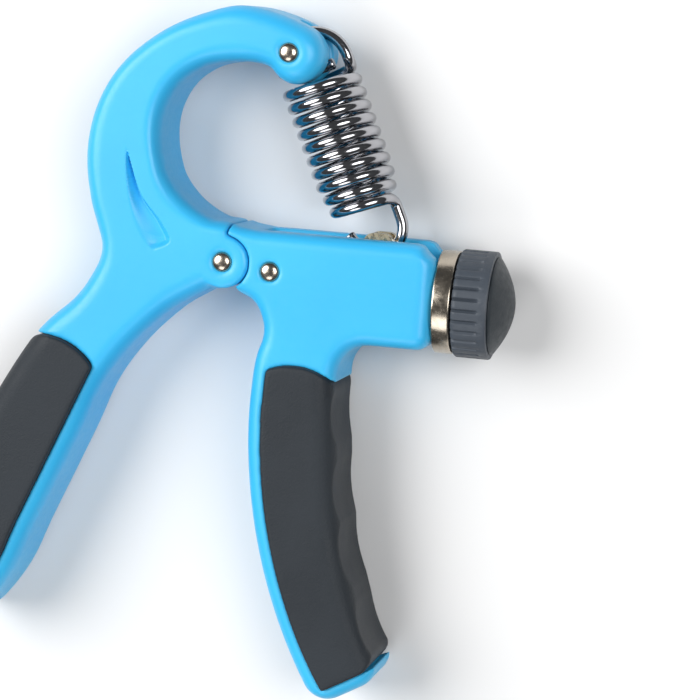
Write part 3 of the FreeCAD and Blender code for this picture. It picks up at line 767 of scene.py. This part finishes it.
def make_knob():
    rib_end = KNOB_LENGTH - BAND
    runout = rib_end + RIB_RUNOUT

    def groove(along, radius, angle):
        if radius < KNOB_R - GROOVE_REACH or along > runout:
            return 0.0
        wave = abs(math.sin(RIBS * angle / 2))
        fade = min(max((runout - along) / GROOVE_FADE, 0), 1)
        return -GROOVE_DEPTH * (1 - min(wave * GROOVE_TIGHTNESS, 1)) ** GROOVE_POWER * fade

    ribbed = rib_end - RIB_START - RIB_MARGIN
    skin = [(0.0, DISC_R)] + [(along, KNOB_R - inset) for along, inset in KNOB_NEAR_EDGE]
    skin += [(RIB_START + ribbed * i / RIB_STEPS, KNOB_R) for i in range(RIB_STEPS + 1)]
    skin += [(rib_end + RIB_MARGIN, KNOB_R), (runout, KNOB_R)]
    skin += [(KNOB_LENGTH - back, KNOB_R - inset) for back, inset in KNOB_FAR_EDGE]
    skin += [(KNOB_LENGTH, KNOB_R - KNOB_WALL), (KNOB_FLOOR, KNOB_R - KNOB_WALL), (KNOB_FLOOR, DISC_R)]
    start = Vector((KNOB[0].x, SCREW_Y, MIDDLE_Z))
    piece = lathe("knob_shell", skin, start, (1, 0, 0), RIBS * RIB_POINTS, groove)
    dress(piece, "knob_grey", "adjuster", ("knob_body",))


def make_cap():
    profile = [(-PLUG_DEPTH, CAP_R - PLUG_INSET), (CAP_RIM[0][0], CAP_R - PLUG_INSET)]
    profile += [(along, CAP_R - inset) for along, inset in CAP_RIM]
    dome_start, dome_r = profile[-1]
    for i in range(1, CAP_STEPS + 1):
        share = 1 - i / CAP_STEPS
        along = dome_start + (CAP_LENGTH - dome_start) * (1 - share ** CAP_BLUNTNESS)
        profile.append((along, dome_r * share + CAP_TIP))
    start = Vector((KNOB[1].x - SKIN_SHORT * MM, SCREW_Y, MIDDLE_Z))
    piece = lathe("knob_cap", profile, start, (1, 0, 0), CAP_SEGMENTS)
    dress(piece, "knob_grey", "adjuster", ("knob_end_cap",), "cap_grey")


# Collar between the body and the knob
COLLAR = [Vector(v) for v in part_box("end_collar")]
COLLAR_WIDTH, COLLAR_BORE, COLLAR_ROUND, COLLAR_SEGMENTS = 4.0, 3.1, 0.45, 128


def make_collar():
    radius = (COLLAR[1].z - COLLAR[0].z) / 2 / MM
    start = Vector((COLLAR[1].x - COLLAR_WIDTH * MM, SCREW_Y, MIDDLE_Z))
    corners = [(0, COLLAR_BORE), (0, radius), (COLLAR_WIDTH, radius), (COLLAR_WIDTH, COLLAR_BORE)]
    piece = lathe("collar", rounded(corners, COLLAR_ROUND), start, (1, 0, 0), COLLAR_SEGMENTS)
    dress(piece, "nickel", "right_handle", ("end_collar",))


# Rivets: a shank and a domed head at each end
SHANK_R, HEAD_HEIGHT, HEAD_BEVEL, DOME_RISE, DOME_SHAPE = 1.72, 1.6, 0.15, 1.1, 0.85
DOME_STEPS, RIVET_SEGMENTS, DOME_TIP = 8, 64, 0.01


def make_rivet(name, node, body):
    low, high = (Vector(v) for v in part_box(node))
    head_r, half = (high.x - low.x) / 2 / MM, (high.z - low.z) / 2 / MM
    under, dome = half - HEAD_HEIGHT, half - DOME_RISE
    head = [(under, SHANK_R), (under, head_r - HEAD_BEVEL), (under + HEAD_BEVEL, head_r), (dome, head_r)]
    for i in range(DOME_STEPS + 1):
        t = i / DOME_STEPS * math.pi / 2
        head.append((dome + DOME_RISE * math.sin(t), head_r * math.cos(t) ** DOME_SHAPE + DOME_TIP))
    tail = [(-along, radius) for along, radius in reversed(head)]
    piece = lathe(name, tail + head, middle(node), (0, 0, 1), RIVET_SEGMENTS)
    dress(piece, "nickel", body, (node,))


# Stage: a pale floor, an even world and three round lights, placed in metres from the pivot
FLOOR_HALF, FLOOR_TONE, FLOOR_ROUGHNESS = 3.0, (0.8, 0.8, 0.8), 0.85
WORLD_TONE, WORLD_STRENGTH = (0.93, 0.96, 1.0), 0.09
LIGHTS = {
    "key": {"place": (-0.72, 0.24, 0.86), "size": 0.95, "power": 14.4},
    "fill": {"place": (0.60, 0.15, 0.90), "size": 0.70, "power": 6.6},
    "front": {"place": (-0.1, -0.75, 0.75), "size": 0.6, "power": 2.6},
}


def make_floor():
    mesh = bpy.data.meshes.new("floor")
    corners = [(x * FLOOR_HALF, y * FLOOR_HALF, 0) for x, y in ((-1, -1), (1, -1), (1, 1), (-1, 1))]
    mesh.from_pydata(corners, [], [(0, 1, 2, 3)])
    floor = bpy.data.objects.new("floor", mesh)
    bpy.context.scene.collection.objects.link(floor)
    mesh.materials.append(principled("floor", FLOOR_TONE, FLOOR_ROUGHNESS)[0])


def make_lights():
    world = bpy.data.worlds.new("world")
    world.use_nodes = True
    background = world.node_tree.nodes["Background"]
    background.inputs["Color"].default_value = (*WORLD_TONE, 1)
    background.inputs["Strength"].default_value = WORLD_STRENGTH
    bpy.context.scene.world = world
    for name, setting in LIGHTS.items():
        data = bpy.data.lights.new(name, "AREA")
        data.shape = "DISK"
        data.size = setting["size"]
        data.energy = setting["power"]
        light = bpy.data.objects.new(name, data)
        bpy.context.scene.collection.objects.link(light)
        light.location = PIVOT + Vector(setting["place"])
        aim = PIVOT - light.location
        light.rotation_euler = aim.to_track_quat("-Z", "Y").to_euler()


# CAD nodes that keep their shape, with their finish
PLAIN_NODES = {
    "screw_bearing": "zinc",
    "lead_screw": "zinc",
    "retaining_clip": "zinc",
    "thrust_washer": "zinc",
    "knob_insert": "brass",
    "knob_fixing_screw": "zinc",
    "slider_nut": "zinc",
    "hook_pin": "zinc",
}

bpy.context.scene.view_settings.view_transform = "Standard"
make_camera()
make_floor()
make_lights()
make_left_handle()
make_right_handle()
make_grips()
make_spring()
make_knob()
make_cap()
make_collar()
make_rivet("pivot_rivet", "pivot_pin", "left_handle")
make_rivet("loop_rivet", "upper_hook_pin", "spring_anchor")
make_rivet("bearing_rivet", "bearing_pin", "right_handle")
for plain_node, finish in PLAIN_NODES.items():
    smooth_node(plain_node, finish)
